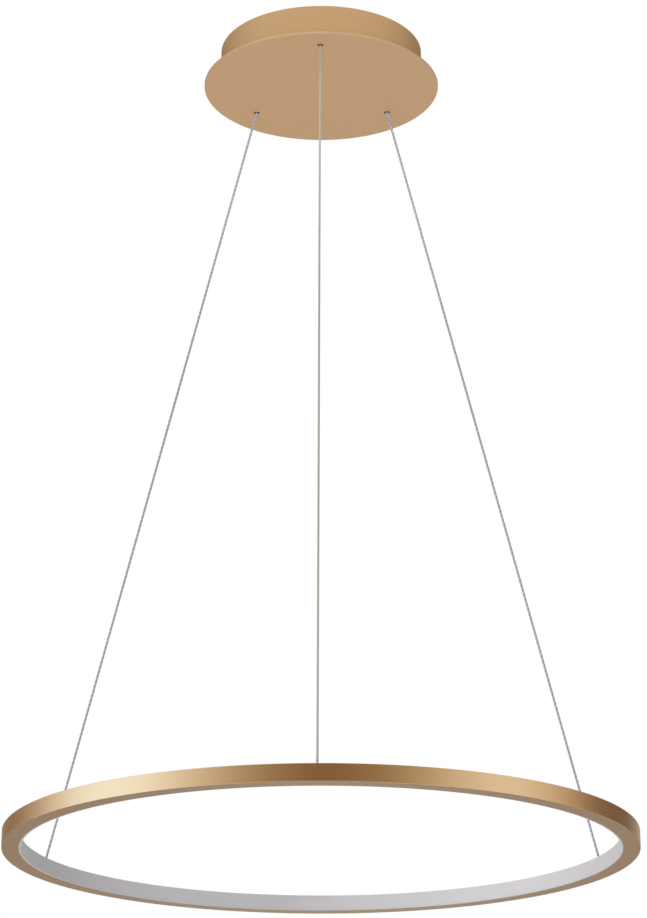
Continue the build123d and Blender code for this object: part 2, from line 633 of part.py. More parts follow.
def ring_profile(stations):
    """Round channel, open inwards, with a hole for each cable in its upper wall."""
    channel = ring_of([
        (RING_INNER_RADIUS, RING_TOP), (RING_RADIUS, RING_TOP), (RING_RADIUS, RING_LOW),
        (RING_INNER_RADIUS, RING_LOW), (RING_INNER_RADIUS, CHANNEL_LOW), (CHANNEL_RADIUS, CHANNEL_LOW),
        (CHANNEL_RADIUS, CHANNEL_TOP), (RING_INNER_RADIUS, CHANNEL_TOP)])
    circles = channel.edges().filter_by(GeomType.CIRCLE)
    rims = [edge for edge in circles if edge.radius > CHANNEL_RADIUS + RING_WALL / 2]
    channel = fillet(rims, RING_EDGE_RADIUS)
    for station in stations:
        channel -= station.anchor_hole()
    return channel


def diffuser():
    """Opal strip over the channel's mouth, with two legs inside it and a lip along its lower edge."""
    outer = RING_INNER_RADIUS - DIFFUSER_GAP
    inner = outer - DIFFUSER_WALL
    leg_end = RING_INNER_RADIUS + DIFFUSER_LEG_LENGTH
    top = RING_TOP - DIFFUSER_EDGE_GAP
    low = RING_LOW + DIFFUSER_EDGE_GAP
    leg_top = CHANNEL_TOP - DIFFUSER_GAP
    leg_low = CHANNEL_LOW + DIFFUSER_GAP
    lip = low + DIFFUSER_LIP_HEIGHT
    return ring_of([
        (inner, top), (outer, top), (outer, leg_top), (leg_end, leg_top),
        (leg_end, leg_top - DIFFUSER_LEG_THICKNESS), (outer, leg_top - DIFFUSER_LEG_THICKNESS),
        (outer, leg_low + DIFFUSER_LEG_THICKNESS), (leg_end, leg_low + DIFFUSER_LEG_THICKNESS),
        (leg_end, leg_low), (outer, leg_low), (outer, low),
        (inner - DIFFUSER_LIP_PROUD, low), (inner - DIFFUSER_LIP_PROUD, lip), (inner, lip)])


def led_strip():
    """Flexible strip on the channel's outer wall."""
    middle = (RING_TOP + RING_LOW) / 2
    outer = CHANNEL_RADIUS - STRIP_GLUE
    return tube(outer, outer - STRIP_THICKNESS, middle - STRIP_WIDTH / 2, middle + STRIP_WIDTH / 2)


def led_chips():
    """Light sources along the strip, facing inwards."""
    face = sqrt((CHANNEL_RADIUS - STRIP_GLUE - STRIP_THICKNESS) ** 2 - (CHIP_WIDTH / 2) ** 2)
    middle = (RING_TOP + RING_LOW) / 2
    chip = Pos(face - CHIP_THICKNESS / 2, 0, middle) * Box(CHIP_THICKNESS, CHIP_WIDTH, CHIP_HEIGHT)
    return Compound(children=[Rot(0, 0, 360 * index / CHIP_COUNT) * chip for index in range(CHIP_COUNT)])


def feed_wires(stations):
    """Wires from the powered cables' ends to the strip."""
    face = CHANNEL_RADIUS - STRIP_GLUE - STRIP_THICKNESS
    wires = []
    for station in stations:
        outward = Vector(station.anchor.X, station.anchor.Y, 0).normalized()
        start = station.anchor - Vector(0, 0, END_BALL_RADIUS)
        low = start - Vector(0, 0, FEED_WIRE_DROP)
        wires.append(wire_tube([start, low, low + outward * (face - ANCHOR_RADIUS)], FEED_WIRE_DIAMETER,
                               FEED_WIRE_DIAMETER))
    return Compound(children=wires)


def make_stations():
    """The front, left and right cables."""
    right_hole = polar(REAR_HOLE_RADIUS, REAR_HOLE_ANGLE)
    right_anchor = polar(ANCHOR_RADIUS, REAR_ANCHOR_ANGLE)
    left_hole = (-right_hole[0], right_hole[1])
    left_anchor = (-right_anchor[0], right_anchor[1])
    return [
        Station("front", (0, -FRONT_HOLE_RADIUS), (0, -ANCHOR_RADIUS), FRONT_CABLE_DIAMETER, 0),
        Station("left", left_hole, left_anchor, REAR_CABLE_DIAMETER, CABLE_END_SLACK),
        Station("right", right_hole, right_anchor, REAR_CABLE_DIAMETER, CABLE_END_SLACK),
    ]


def make_parts():
    """Every piece of the light, by name."""
    stations = make_stations()
    powered = stations[1:]
    case = driver_case()
    for x in pole_places()[1:]:
        case -= lead_hole(x)
    for side in (-1, 1):
        case -= output_hole(side)
    parts = {
        "ceiling_bracket": ceiling_bracket(),
        "canopy_drum": canopy_drum(),
        "canopy_plate": canopy_plate(stations),
        "plate_nuts": plate_nuts(),
        "canopy_side_screws": canopy_side_screws(),
        "driver_case": case,
        "driver_lid": driver_lid(),
        "driver_screws": driver_screws(),
        "driver_board": driver_board(),
        "driver_parts": driver_parts(),
        "terminal_block": terminal_block(),
        "terminal_screws": terminal_screws(),
        "earth_screw": earth_screw(),
        "earth_lead": earth_lead(),
        "mains_leads": mains_leads(),
        "splice_connectors": splice_connectors(powered),
        "output_leads": output_leads(powered),
        "ring_profile": ring_profile(stations),
        "diffuser": diffuser(),
        "led_strip": led_strip(),
        "led_chips": led_chips(),
        "feed_wires": feed_wires(powered),
    }
    for station in stations:
        makers = (station.gripper_seat, station.swivel_liner, station.gripper_barrel, station.gripper_cap,
                  station.gripper_plunger, station.gripper_balls, station.gripper_spring, station.tail_stop,
                  station.cable_tail, station.cable, station.cable_end, station.socket_bush)
        for maker in makers:
            parts[f"{station.name}_{maker.__name__}"] = maker()
    return parts


os.makedirs("parts", exist_ok=True)
for node, shape in make_parts().items():
    export_step(shape, f"parts/{node}.step")
for cable in make_stations():
    print(cable.name, "pivot", cable.pivot, "anchor", cable.anchor, "length", round(cable.length, 1))
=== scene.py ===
"""Looks of the ring pendant light: its finishes, its finer meshes and the studio that it hangs in.

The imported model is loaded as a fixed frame. Most of its pieces keep their shapes and get procedural finishes.
The ring's channel and opal band, the canopy's plate, the three free cables and the grippers' springs are built
here as finer meshes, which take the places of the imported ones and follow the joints.
"""
from __future__ import annotations

import json
import logging
import math
from abc import ABC, abstractmethod
from dataclasses import dataclass
from enum import Enum

import bmesh
import bpy
from mathutils import Matrix, Vector

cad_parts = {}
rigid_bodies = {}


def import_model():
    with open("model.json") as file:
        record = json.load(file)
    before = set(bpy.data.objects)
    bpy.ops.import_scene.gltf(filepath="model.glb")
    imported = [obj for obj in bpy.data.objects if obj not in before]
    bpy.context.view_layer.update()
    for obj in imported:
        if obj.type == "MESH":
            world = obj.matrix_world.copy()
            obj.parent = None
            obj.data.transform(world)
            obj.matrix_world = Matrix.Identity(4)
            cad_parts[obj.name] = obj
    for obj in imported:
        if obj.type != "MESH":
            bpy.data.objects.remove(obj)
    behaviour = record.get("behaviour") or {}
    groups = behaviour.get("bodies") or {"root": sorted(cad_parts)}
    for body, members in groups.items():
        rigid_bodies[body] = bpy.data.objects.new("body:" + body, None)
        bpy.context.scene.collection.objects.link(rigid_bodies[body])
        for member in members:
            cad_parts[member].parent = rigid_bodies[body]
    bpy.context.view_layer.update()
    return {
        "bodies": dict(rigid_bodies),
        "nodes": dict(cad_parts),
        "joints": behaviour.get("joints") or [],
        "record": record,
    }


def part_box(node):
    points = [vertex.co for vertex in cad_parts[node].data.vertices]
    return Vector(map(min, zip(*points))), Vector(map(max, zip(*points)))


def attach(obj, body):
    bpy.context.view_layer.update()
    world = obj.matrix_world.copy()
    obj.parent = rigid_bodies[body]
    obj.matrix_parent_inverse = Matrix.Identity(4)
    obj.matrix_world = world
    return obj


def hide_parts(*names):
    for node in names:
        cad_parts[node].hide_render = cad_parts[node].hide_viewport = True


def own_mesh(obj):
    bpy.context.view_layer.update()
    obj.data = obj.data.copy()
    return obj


LOG = logging.getLogger("ring_pendant")
# per-point values of the grooves between strands, which darken the cable's colour as painted shade
GROOVE_PAINTED_SHADE = "groove_painted_shade"
SHARP_ANGLE = math.radians(40.0)
Colour = tuple[float, float, float]
Point = tuple[float, float, float]
Corner = tuple[float, float]
Face = tuple[int, ...]
Piece = bpy.types.Object
WHITE: Colour = (1.0, 1.0, 1.0)
BLACK: Colour = (0.0, 0.0, 0.0)
# the canopy's satin gold as set for the drum; the plate's copy is lighter: lit and shaded copies of one gold,
# painted light
DRUM_GOLD: Colour = (0.456, 0.288, 0.143)


class Station(Enum):
    """The three places where a cable leaves the canopy."""

    FRONT = "front"
    LEFT = "left"
    RIGHT = "right"


class Value:
    """A shader socket that takes part in arithmetic: each operation adds a Math node."""

    def __init__(self, sheet: Sheet, socket: bpy.types.NodeSocket) -> None:
        """Wrap a socket of a sheet."""
        self.sheet = sheet
        self.socket = socket

    def __add__(self, other: Value | float) -> Value:
        """This plus other."""
        return self.sheet.math("ADD", self, other)

    __radd__ = __add__

    def __sub__(self, other: Value | float) -> Value:
        """This minus other."""
        return self.sheet.math("SUBTRACT", self, other)

    def __rsub__(self, other: float) -> Value:
        """Other minus this."""
        return self.sheet.math("SUBTRACT", other, self)

    def __mul__(self, other: Value | float) -> Value:
        """This times other."""
        return self.sheet.math("MULTIPLY", self, other)

    def __abs__(self) -> Value:
        """The absolute value of this."""
        return self.sheet.math("ABSOLUTE", self, 0.0)

    def __pow__(self, other: float) -> Value:
        """This to the power of other."""
        return self.sheet.math("POWER", self, other)

    def __gt__(self, other: float) -> Value:
        """One where this is above other, and zero elsewhere."""
        return self.sheet.math("GREATER_THAN", self, other)


class Sheet:
    """The node tree of one material or world, filled by a few calls."""

    def __init__(self, tree: bpy.types.NodeTree) -> None:
        """Start on an emptied tree."""
        self.tree = tree
        tree.nodes.clear()

    @classmethod
    def of_material(cls, title: str) -> tuple[bpy.types.Material, Sheet]:
        """A new material with an emptied tree.

        Args:
            title: Name of the material.

        Returns:
            The material and its sheet.
        """
        material = bpy.data.materials.new(title)
        material.use_nodes = True
        return material, cls(material.node_tree)

    def node(self, kind: str, settings: dict | None = None, sockets: dict | None = None,
             output: str | int = 0) -> Value:
        """Add a node.

        Args:
            kind: Blender's name of the node's type.
            settings: Properties that are set first.
            sockets: Values or links of the node's inputs, by name or by number.
            output: The output that is handed back.

        Returns:
            The chosen output, ready for arithmetic.
        """
        node = self.tree.nodes.new(kind)
        for name, value in (settings or {}).items():
            setattr(node, name, value)
        for name, value in (sockets or {}).items():
            self._feed(node.inputs[name], value)
        return Value(self, node.outputs[output])

    def _feed(self, socket: bpy.types.NodeSocket, value: Value | float | tuple) -> None:
        """Link a value to an input, or set the input's own number or colour.

        Args:
            socket: The input.
            value: A socket to link, or a number or colour to set.
        """
        if isinstance(value, Value):
            self.tree.links.new(value.socket, socket)
        elif socket.type == "RGBA":
            socket.default_value = (*value, 1.0)
        else:
            socket.default_value = value

    def math(self, operation: str, left: Value | float, right: Value | float) -> Value:
        """Add a Math node on two values."""
        return self.node("ShaderNodeMath", {"operation": operation}, {0: left, 1: right})

    def blend(self, factor: Value, low: Colour | Value, high: Colour | Value) -> Value:
        """Mix two colours by a factor."""
        settings = {"data_type": "RGBA", "clamp_factor": True}
        return self.node("ShaderNodeMix", settings, {0: factor, 6: low, 7: high}, 2)

    def ramp(self, place: Value, stops: list[tuple[float, Colour]]) -> Value:
        """A colour by its place on a scale from 0 to 1.

        Args:
            place: The place.
            stops: Places with their colours.

        Returns:
            The colour.
        """
        colour = self.node("ShaderNodeValToRGB", None, {0: place})
        elements = colour.socket.node.color_ramp.elements
        while len(elements) < len(stops):
            elements.new(1.0)
        for element, (position, tint) in zip(elements, stops):
            element.position = position
            element.color = (*tint, 1.0)
        return colour

    def noise(self, vector: Value, scale: float, detail: float = 2.0, roughness: float = 0.5) -> Value:
        """Fractal noise from 0 to 1."""
        sockets = {"Vector": vector, "Scale": scale, "Detail": detail, "Roughness": roughness}
        return self.node("ShaderNodeTexNoise", None, sockets)

    def place(self) -> Value:
        """The point on the piece, in metres in its own frame."""
        return self.node("ShaderNodeTexCoord", None, None, "Object")

    def upward(self) -> Value:
        """How far the surface faces up in the piece's own frame, from -1 to 1."""
        return self.split(self.node("ShaderNodeTexCoord", None, None, "Normal"))[2]

    def split(self, vector: Value) -> tuple[Value, Value, Value]:
        """The three parts of a vector."""
        first = self.node("ShaderNodeSeparateXYZ", None, {0: vector})
        return tuple(Value(self, socket) for socket in first.socket.node.outputs)

    def join(self, x: Value | float, y: Value | float, z: Value | float) -> Value:
        """A vector of three parts."""
        return self.node("ShaderNodeCombineXYZ", None, {0: x, 1: y, 2: z})

    def bump(self, height: Value, strength: float, distance: float) -> Value:
        """A normal that follows a height."""
        sockets = {"Height": height, "Strength": strength, "Distance": distance}
        return self.node("ShaderNodeBump", None, sockets)

    def principled(self, sockets: dict) -> Value:
        """A principled shader with the given inputs."""
        return self.node("ShaderNodeBsdfPrincipled", None, sockets)

    def surface(self, sockets: dict) -> None:
        """Finish the material with one principled shader."""
        self.end("ShaderNodeOutputMaterial", self.principled(sockets))

    def end(self, kind: str, shader: Value) -> None:
        """Close the tree with an output node of the given type."""
        self._feed(self.tree.nodes.new(kind).inputs["Surface"], shader)


def weighed(first: Value, second: Value, share: float) -> Value:
    """Two values added, the first by a share and the second by the rest."""
    return first * share + second * (1.0 - share)


def dimmed(colour: Colour, share: float) -> Colour:
    """A colour at a share of its lightness."""
    return tuple(share * part for part in colour)


@dataclass(frozen=True)
class Grain:
    """How a fine pattern of heights shows on a surface: in its sheen and in its relief."""

    spread: float
    strength: float
    depth: float

    def sockets(self, sheet: Sheet, roughness: Value | float, height: Value) -> dict:
        """The inputs of a shader that follow the pattern."""
        normal = sheet.bump(height, self.strength, self.depth)
        return {"Roughness": roughness + height * self.spread, "Normal": normal}


@dataclass(frozen=True)
class Finish(ABC):
    """A surface of the light, painted once and shared by its pieces."""

    name: str

    def material(self) -> bpy.types.Material:
        """The finish as a material, made the first time that it is asked for.

        Returns:
            The one material of this finish.
        """
        title = f"finish_{self.name}"
        found = bpy.data.materials.get(title)
        if found is None:
            found, sheet = Sheet.of_material(title)
            self.paint(sheet)
        return found

    @abstractmethod
    def paint(self, sheet: Sheet) -> None:
        """Fill the material's sheet."""


@dataclass(frozen=True)
class BrushedGold(Finish):
    """Gold metal brushed round the ring on its upright face, and matt from blasting on its flat faces; the
    downward faces get a darker matt gold than the upward ones, which is painted shade.
    """

    bright: Colour = (0.80, 0.575, 0.335)
    deep: Colour = (0.68, 0.475, 0.265)
    # painted shade: the downward faces take this darker copy of the matt gold; matt_above is the upward faces'
    # lighter one
    matt_below_painted_shade: Colour = (0.321, 0.209, 0.114)
    matt_above: Colour = (0.56, 0.385, 0.225)
    flat_from: float = 0.7
    lines_per_metre: float = 2600.0
    line_detail: float = 4.0
    line_contrast: float = 0.65
    line_weight: float = 0.7
    broad_share: float = 0.12
    stretch: float = 4.0
    grain_per_metre: float = 1400.0
    line_roughness: float = 0.20
    line_spread: float = 0.16
    matt_roughness: float = 0.42
    matt_spread: float = 0.12
    relief_strength: float = 0.06
    relief_depth: float = 0.0002
    anisotropy: float = 0.55

    def paint(self, sheet: Sheet) -> None:
        """Brush lines follow the ring, because their noise is stretched along it.

        Args:
            sheet: The material's sheet.
        """
        place = sheet.place()
        x, y, z = sheet.split(place)
        radius = (x * x + y * y) ** 0.5
        across = (z + radius) * self.lines_per_metre
        along = x * self.stretch, y * self.stretch
        lines = sheet.noise(sheet.join(*along, across), 1.0, self.line_detail, self.line_contrast)
        broad = sheet.noise(sheet.join(*along, across * self.broad_share), 1.0)
        grain = sheet.noise(place, self.grain_per_metre)
        facing = sheet.upward()
        flat = abs(facing) > self.flat_from
        brushed = sheet.blend(weighed(lines, broad, self.line_weight), self.deep, self.bright)
        # painted shade: downward flat faces get the darker matt gold, upward ones the lighter
        blasted_matt_and_painted_shade = sheet.blend(facing > 0.0, self.matt_below_painted_shade, self.matt_above)
        rough_side = self.line_roughness + lines * self.line_spread
        rough_flat = self.matt_roughness + grain * self.matt_spread
        height = lines * (1 - flat) + grain * flat
        sheet.surface({
            "Base Color": sheet.blend(flat, brushed, blasted_matt_and_painted_shade), "Metallic": 1.0, "Anisotropic": self.anisotropy,
            "Roughness": rough_side + flat * (rough_flat - rough_side),
            "Normal": sheet.bump(height, self.relief_strength, self.relief_depth),
        })


@dataclass(frozen=True)
class SatinGold(Finish):
    """Champagne gold lacquer with fine metallic flakes and a soft sheen; upright faces take a separate tone set
    to how light falls on them, which is painted light.
    """

    base: Colour
    # painted light: the tone of upright faces, set to how they are lit; on the plate it is darker than the
    # base, a painted shade on the rim
    edge: Colour
    metal: float
    depth: float = 0.90
    sheen: float = 0.08
    sheen_tint: Colour = (0.75, 0.50, 0.28)
    coat: float = 0.05
    coat_roughness: float = 0.35
    roughness: float = 0.46
    flat_from: float = 0.9
    flakes_per_metre: float = 2200.0
    flake_weight: float = 0.55
    cloud_per_metre: float = 9.0
    grain: Grain = Grain(0.12, 0.06, 0.0001)

    def paint(self, sheet: Sheet) -> None:
        """Fine flakes in the lacquer over broad, faint clouds.

        Args:
            sheet: The material's sheet.
        """
        place = sheet.place()
        flakes = sheet.noise(place, self.flakes_per_metre)
        cloud = sheet.noise(place, self.cloud_per_metre)
        # upright faces swap to the edge tone: painted light by facing
        upright = 1 - (abs(sheet.upward()) > self.flat_from)
        light = sheet.blend(upright, self.base, self.edge)
        shade = sheet.blend(upright, dimmed(self.base, self.depth), dimmed(self.edge, self.depth))
        sheet.surface({
            "Base Color": sheet.blend(weighed(flakes, cloud, self.flake_weight), shade, light),
            "Metallic": self.metal, "Coat Weight": self.coat, "Coat Roughness": self.coat_roughness,
            "Specular IOR Level": self.sheen, "Specular Tint": self.sheen_tint,
            **self.grain.sockets(sheet, self.roughness, flakes),
        })


@dataclass(frozen=True)
class PlatedMetal(Finish):
    """Turned or rolled metal under a thin plating; where a level is given, the metal below it is painted
    near-black and rougher, which is painted shade in the hole that it sits in.
    """

    base: Colour
    roughness: float
    # painted shade: below this level the metal takes the near-black colour and the extra roughness below
    painted_shade_below_level: float = -10.0
    black: Colour = (0.012, 0.012, 0.013)
    painted_shade_roughening: float = 0.3
    depth: float = 0.82
    marks_per_metre: float = 1600.0
    mark_detail: float = 3.0
    mark_stretch: float = 0.1
    mark_weight: float = 0.6
    mottle_per_metre: float = 160.0
    grain: Grain = Grain(0.12, 0.08, 0.0001)

    def paint(self, sheet: Sheet) -> None:
        """Fine tool marks across the part and a slight mottle in the plating.

        Args:
            sheet: The material's sheet.
        """
        place = sheet.place()
        x, y, z = sheet.split(place)
        drawn_out = sheet.join(x * self.mark_stretch, y * self.mark_stretch, z)
        marks = sheet.noise(drawn_out, self.marks_per_metre, self.mark_detail)
        mottle = sheet.noise(place, self.mottle_per_metre)
        mixed = weighed(marks, mottle, self.mark_weight)
        plating = sheet.blend(mixed, dimmed(self.base, self.depth), self.base)
        # bright is zero below the level, where the near-black painted shade takes over
        bright = z > self.painted_shade_below_level
        sheet.surface({
            "Base Color": sheet.blend(bright, self.black, plating), "Metallic": bright,
            **self.grain.sockets(sheet, self.roughness + (1 - bright) * self.painted_shade_roughening, marks),
        })


@dataclass(frozen=True)
class Plastic(Finish):
    """Plastic with a fine grain, in a colour that drifts a little between two tones."""

    base: Colour
    shade: Colour
    roughness: float = 0.45
    grain_per_metre: float = 1500.0
    drift_per_metre: float = 45.0
    grain_weight: float = 0.0
    grain: Grain = Grain(0.12, 0.10, 0.0002)
    refraction: float = 1.5
    coat: float = 0.0
    coat_roughness: float = 0.2

    @classmethod
    def moulded(cls, name: str, base: Colour, roughness: float = 0.45, depth: float = 0.88) -> Plastic:
        """Moulded plastic with a spark-eroded grain and faint flow marks."""
        return cls(name, base, dimmed(base, depth), roughness)

    def paint(self, sheet: Sheet) -> None:
        """A grain in the height and the sheen, and a drift in the colour.

        Args:
            sheet: The material's sheet.
        """
        place = sheet.place()
        height = sheet.noise(place, self.grain_per_metre)
        drift = sheet.noise(place, self.drift_per_metre)
        sheet.surface({
            "Base Color": sheet.blend(weighed(height, drift, self.grain_weight), self.shade, self.base),
            "IOR": self.refraction, "Coat Weight": self.coat, "Coat Roughness": self.coat_roughness,
            **self.grain.sockets(sheet, self.roughness, height),
        })


@dataclass(frozen=True)
class CircuitBoard(Finish):
    """Solder mask over copper tracks."""

    mask: Colour = (0.02, 0.16, 0.07)
    track: Colour = (0.06, 0.30, 0.12)
    cells_per_metre: float = 260.0
    track_width: float = 0.08
    roughness: float = 0.30
    grain: Grain = Grain(0.08, 0.2, 0.0001)

    def paint(self, sheet: Sheet) -> None:
        """Tracks run along the edges of a cell pattern.

        Args:
            sheet: The material's sheet.
        """
        sockets = {"Vector": sheet.place(), "Scale": self.cells_per_metre}
        edge = sheet.node("ShaderNodeTexVoronoi", {"feature": "DISTANCE_TO_EDGE"}, sockets)
        tracks = 1 - (edge > self.track_width)
        sheet.surface({
            "Base Color": sheet.blend(tracks, self.mask, self.track),
            **self.grain.sockets(sheet, self.roughness, tracks),
        })


@dataclass(frozen=True)
class WireSleeve(Finish):
    """Soft insulation of a lead, in one colour or with a second colour in bands."""

    base: Colour
    band: Colour
    bands_per_metre: float = 90.0
    base_share: float = 0.62
    grain_per_metre: float = 1200.0
    roughness: float = 0.38
    grain: Grain = Grain(0.14, 0.08, 0.0001)

    def paint(self, sheet: Sheet) -> None:
        """The bands run across the lead's length.

        Args:
            sheet: The material's sheet.
        """
        place = sheet.place()
        x, y, z = sheet.split(place)
        phase = (x + y + z) * self.bands_per_metre
        stripe = sheet.math("FRACT", phase, 0.0) > self.base_share
        height = sheet.noise(place, self.grain_per_metre)
        sheet.surface({
            "Base Color": sheet.blend(stripe, self.base, self.band),
            **self.grain.sockets(sheet, self.roughness, height),
        })


@dataclass(frozen=True)
class ClearJacket(Finish):
    """Twisted silver strands under a clear, glossy jacket with a faint lilac cast."""

    base: Colour = (0.565, 0.588, 0.667)
    shade: Colour = (0.203, 0.214, 0.262)
    # painted shade: share of the darkening in the sunken grooves
    groove_shade_weight: float = 0.6
    grain_per_metre: float = 3200.0
    grain_weight: float = 0.3
    drift_per_metre: float = 55.0
    drift_weight: float = 0.2
    metal: float = 0.25
    roughness: float = 0.26
    coat: float = 0.9
    coat_roughness: float = 0.06
    grain: Grain = Grain(0.16, 0.10, 0.00005)

    def paint(self, sheet: Sheet) -> None:
        """Bright strands, darker in the sunken grooves between them as painted shade, all under a clear coat.

        Args:
            sheet: The material's sheet.
        """
        place = sheet.place()
        height = sheet.noise(place, self.grain_per_metre)
        drift = sheet.noise(place, self.drift_per_metre)
        # the groove values darken the colour where the tube sinks: painted shade
        groove_shade = sheet.node("ShaderNodeAttribute", {"attribute_name": GROOVE_PAINTED_SHADE}, None, "Fac")
        dull = groove_shade * self.groove_shade_weight + height * self.grain_weight + drift * self.drift_weight
        sheet.surface({
            "Base Color": sheet.blend(dull, self.base, self.shade), "Metallic": self.metal,
            "Coat Weight": self.coat, "Coat Roughness": self.coat_roughness,
            **self.grain.sockets(sheet, self.roughness, height),
        })


@dataclass(frozen=True)
class Phosphor(Finish):
    """Amber phosphor in a white frame, unlit."""

    base: Colour = (0.86, 0.66, 0.12)
    frame: Colour = (0.84, 0.84, 0.80)
    speckles_per_metre: float = 2600.0
    contrast: float = 3.0
    roughness: float = 0.30
    grain: Grain = Grain(0.2, 0.15, 0.0001)

    def paint(self, sheet: Sheet) -> None:
        """A speckled amber face.

        Args:
            sheet: The material's sheet.
        """
        speckle = sheet.noise(sheet.place(), self.speckles_per_metre)
        sheet.surface({
            "Base Color": sheet.blend(speckle ** self.contrast, self.base, self.frame),
            **self.grain.sockets(sheet, self.roughness, speckle),
        })


class Palette:
    """Every finish of the light, by the name of the record's material slot."""

    finishes: dict[str, Finish] = {finish.name: finish for finish in (
        SatinGold("satin_gold", DRUM_GOLD, DRUM_GOLD, 0.20),
        BrushedGold("brushed_gold"),
        # painted shade: the white opal band is given a mid grey, the tone it shows in shade
        Plastic("opal", (0.53, 0.515, 0.525), (0.49, 0.475, 0.485), 0.40, 900.0, 14.0,
                grain=Grain(0.10, 0.04, 0.0001), refraction=1.49),
        PlatedMetal("zinc_steel", (0.62, 0.63, 0.64), 0.30),
        # painted shade: the nose and plunger tip below this level are painted near-black, as the hole round
        # them is in shade
        PlatedMetal("nickel", (0.72, 0.69, 0.63), 0.18, painted_shade_below_level=-0.0335),
        PlatedMetal("spring_steel", (0.56, 0.56, 0.58), 0.22),
        Plastic.moulded("white_plastic", (0.80, 0.80, 0.78)),
        Plastic.moulded("dark_plastic", (0.03, 0.03, 0.035), 0.5),
        Plastic.moulded("nylon", (0.74, 0.71, 0.64), 0.4),
        Plastic.moulded("led_white", (0.82, 0.82, 0.80), 0.5),
        Phosphor("led_amber"),
        CircuitBoard("board_green"),
        WireSleeve("lead_earth", (0.62, 0.55, 0.03), (0.05, 0.28, 0.05)),
        WireSleeve("lead_brown", (0.16, 0.065, 0.03), (0.15, 0.06, 0.028)),
        WireSleeve("lead_red", (0.42, 0.035, 0.03), (0.40, 0.032, 0.028)),
        Plastic("cream_cable", (0.416, 0.378, 0.320), (0.319, 0.289, 0.241), 0.38, 2500.0, 30.0, 0.5,
                Grain(0.14, 0.08, 0.00005), coat=0.25),
        ClearJacket("clear_cable"),
    )}

    variants: dict[str, Finish] = {
        # painted light: the plate takes its own lighter copy of the canopy's satin gold, set to how the plate
        # is lit, while the drum's copy is darker
        "canopy_disc": SatinGold("plate_gold_painted_light", (0.651, 0.420, 0.240), (0.50, 0.33, 0.19), 0.20),
        # painted shade: the swivel liners are painted near-black in place of their nylon, for the shade in the
        # cable holes
        **{f"{station.value}_swivel_liner": Plastic.moulded("black_liner", (0.016, 0.016, 0.017))
           for station in Station},
    }

    @classmethod
    def dress(cls, piece: Piece, slot: str) -> None:
        """Give a piece the finish of its slot, or its own variant of it, on all its faces.

        Args:
            piece: The piece.
            slot: The record's material slot.
        """
        finish = cls.variants.get(piece.name, cls.finishes[slot])
        piece.data.materials.clear()
        piece.data.materials.append(finish.material())


def linked(name: str, data: bpy.types.ID) -> Piece:
    """A new object in the scene.

    Args:
        name: Name of the object.
        data: Its mesh, curve, lamp or camera.

    Returns:
        The object.
    """
    item = bpy.data.objects.new(name, data)
    bpy.context.scene.collection.objects.link(item)
    return item


def meshed(name: str, vertices: list[Vector] | list[Point], faces: list[Face]) -> Piece:
    """A new mesh piece in the scene.

    Args:
        name: Name of the piece and of its mesh.
        vertices: Its points, in metres.
        faces: Its faces, by the numbers of their points.

    Returns:
        The piece.
    """
    mesh = bpy.data.meshes.new(name)
    mesh.from_pydata(vertices, [], faces)
    return linked(name, mesh)


def hang(piece: Piece, body: str, node: str, slot: str) -> None:
    """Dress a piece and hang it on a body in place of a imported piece.

    Args:
        piece: The piece.
        body: The body that it rides.
        node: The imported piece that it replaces.
        slot: The record's material slot.
    """
    Palette.dress(piece, slot)
    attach(piece, body)
    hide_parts(node)


def spline_points(name: str, points: list[Vector], resolution: int) -> list[Vector]:
    """Points along a smooth line.

    Args:
        name: Name of the line while it exists.
        points: Control points, in metres.
        resolution: Points for each stretch between two control points.

    Returns:
        The points of the line, from its first control point to its last.
    """
    curve = bpy.data.curves.new(name, "CURVE")
    curve.dimensions = "3D"
    curve.resolution_u = resolution
    spline = curve.splines.new("NURBS")
    spline.points.add(len(points) - 1)
    for control, point in zip(spline.points, points):
        control.co = (*point, 1.0)
    spline.order_u = 3
    spline.use_endpoint_u = True
    holder = linked(name, curve)
    bpy.context.view_layer.update()
    shown = holder.evaluated_get(bpy.context.evaluated_depsgraph_get())
    mesh = bpy.data.meshes.new_from_object(shown)
    line = [vertex.co.copy() for vertex in mesh.vertices]
    bpy.data.objects.remove(holder)
    bpy.data.curves.remove(curve)
    bpy.data.meshes.remove(mesh)
    return line


